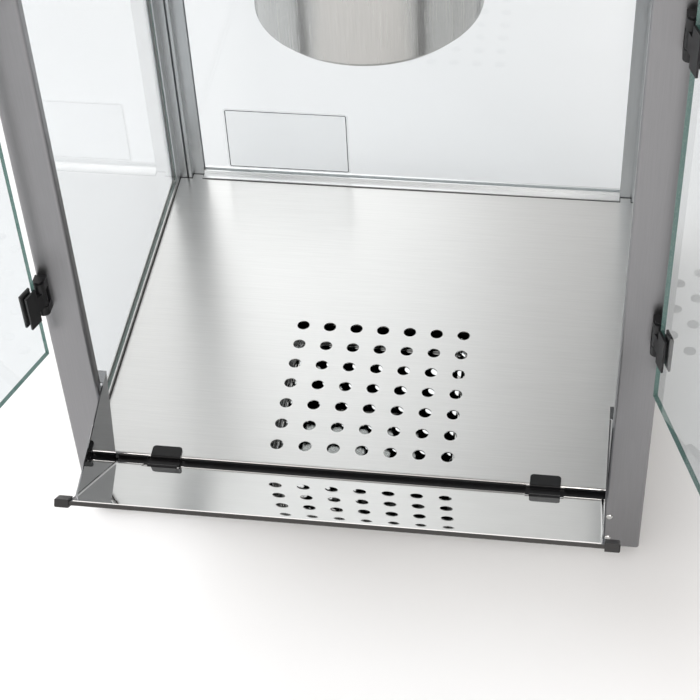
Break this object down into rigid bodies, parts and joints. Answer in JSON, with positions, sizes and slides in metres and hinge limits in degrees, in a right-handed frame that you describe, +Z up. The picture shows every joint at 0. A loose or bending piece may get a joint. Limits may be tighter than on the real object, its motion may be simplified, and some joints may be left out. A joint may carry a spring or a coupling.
{
  "type": "countertop popcorn machine cabinet",
  "caption": "Glazed steel popcorn cabinet with a sifting floor, tilt-out serving hatch, kernel drawer, glass doors and a tipping kettle with a driven stirrer.",
  "frame": {"origin": "centre of the footprint of the whole object at rest, on the plane its feet stand on", "axes": "+Z up; the doors, hatch and drawer face -Y; +X is to the right of a person who stands in front of the cabinet and looks at it"},
  "size_m": [0.5506, 0.5212, 0.56],
  "materials": {
    "stainless_panel": "brushed satin",
    "stainless_floor": "fine brushed",
    "stainless_mirror": "polished",
    "plated_steel": "polished",
    "aluminium_profile": "satin anodised",
    "clear_glass": "clear toughened",
    "black_plastic": "matte",
    "charcoal_moulding": "satin",
    "black_zinc": "black coated",
    "gasket_rubber": "matte",
    "foot_rubber": "matte",
    "rocker_motor": "gloss",
    "rocker_kettle": "gloss",
    "kettle_steel": "satin",
    "ring_steel": "dark oxide",
    "motor_paint": "satin",
    "lamp_glass": "frosted",
    "lamp_ceramic": "glazed"
  },
  "bodies": {
    "cabinet": {"back_glass": "clear_glass", "base_shell": "stainless_panel", "bottom_plate": "stainless_panel", "canopy_shell": "stainless_panel", "ceiling_plate": "stainless_panel", "cord_gland": "black_plastic", "corner_extrusions": "aluminium_profile", "cover_screws": "plated_steel", "door_brackets": "black_zinc", "door_pins": "black_zinc", "drawer_runners": "stainless_panel", "floor_pan": "stainless_floor", "foot_pads": "foot_rubber", "front_panel": "stainless_panel", "front_post_left": "stainless_panel", "front_post_right": "stainless_panel", "gear_motor": "motor_paint", "glazing_gaskets": "gasket_rubber", "hatch_pins": "plated_steel", "hinge_clips": "black_zinc", "hinge_rail": "black_zinc", "kettle_hangers": "kettle_steel", "kettle_outlet": "black_plastic", "lamp_bulb": "lamp_glass", "lamp_socket": "lamp_ceramic", "magnet_catch": "black_plastic", "post_rivets": "plated_steel", "rear_rails": "stainless_panel", "side_channels": "stainless_panel", "side_glass": "clear_glass", "switch_housings": "black_plastic", "switch_panel": "black_plastic", "top_cover": "stainless_panel"},
    "hatch": {"hatch_tray": "stainless_mirror", "lip_bar": "charcoal_moulding", "lip_caps": "black_plastic"},
    "drawer": {"kernel_drawer": "stainless_mirror", "drawer_front": "stainless_panel", "drawer_pull": "plated_steel"},
    "door_left": {"door_glass_left": "clear_glass", "door_hinge_leaves_left": "black_zinc", "door_handle_left": "plated_steel", "door_strike_left": "plated_steel"},
    "door_right": {"door_glass_right": "clear_glass", "door_hinge_leaves_right": "black_zinc", "door_handle_right": "plated_steel", "door_strike_right": "plated_steel"},
    "kettle": {"kettle_pan": "kettle_steel", "kettle_jacket": "kettle_steel", "heating_ring": "ring_steel", "crossbar": "kettle_steel", "lid_rear": "kettle_steel", "lid_pin": "plated_steel", "kettle_lever": "plated_steel", "lever_grip": "black_plastic"},
    "lid": {"lid_front": "kettle_steel"},
    "stirrer": {"stirrer": "plated_steel"},
    "drive": {"drive_shaft": "plated_steel"},
    "rocker_motor": {"rocker_motor": "rocker_motor"},
    "rocker_kettle": {"rocker_kettle": "rocker_kettle"}
  },
  "joints": [
    {"name": "hatch_hinge", "type": "hinge", "parent": "cabinet", "child": "hatch", "pos_m": [0, -0.07384, 0.051], "axis": [-1, 0, 0], "range_deg": [0, 50.5]},
    {"name": "drawer_slide", "type": "slide", "parent": "cabinet", "child": "drawer", "axis": [0, -1, 0], "range_m": [0, 0.135]},
    {"name": "door_left_hinge", "type": "hinge", "parent": "cabinet", "child": "door_left", "pos_m": [-0.191, -0.08254, 0.324], "axis": [0, 0, 1], "range_deg": [0, 110]},
    {"name": "door_right_hinge", "type": "hinge", "parent": "cabinet", "child": "door_right", "pos_m": [0.191, -0.08254, 0.324], "axis": [0, 0, -1], "range_deg": [0, 110]},
    {"name": "kettle_tilt", "type": "hinge", "parent": "cabinet", "child": "kettle", "pos_m": [0, 0.07666, 0.408], "axis": [1, 0, 0], "range_deg": [0, 70]},
    {"name": "lid_hinge", "type": "hinge", "parent": "kettle", "child": "lid", "pos_m": [0, 0.06246, 0.4008], "axis": [-1, 0, 0], "range_deg": [0, 85]},
    {"name": "drive_spin", "type": "hinge", "parent": "cabinet", "child": "drive", "pos_m": [0, 0.07666, 0.47], "axis": [0, 0, 1], "continuous": true},
    {"name": "stirrer_spin", "type": "hinge", "parent": "kettle", "child": "stirrer", "pos_m": [0, 0.07666, 0.4], "axis": [0, 0, 1], "continuous": true},
    {"name": "motor_switch", "type": "hinge", "parent": "cabinet", "child": "rocker_motor", "pos_m": [-0.022, -0.07334, 0.513], "axis": [-1, 0, 0], "range_deg": [0, 16]},
    {"name": "kettle_switch", "type": "hinge", "parent": "cabinet", "child": "rocker_kettle", "pos_m": [0.022, -0.07334, 0.513], "axis": [-1, 0, 0], "range_deg": [0, 16]}
  ],
  "couplings": [
    {"joint": "drive_spin", "follows": "stirrer_spin", "ratio": 1}
  ]
}
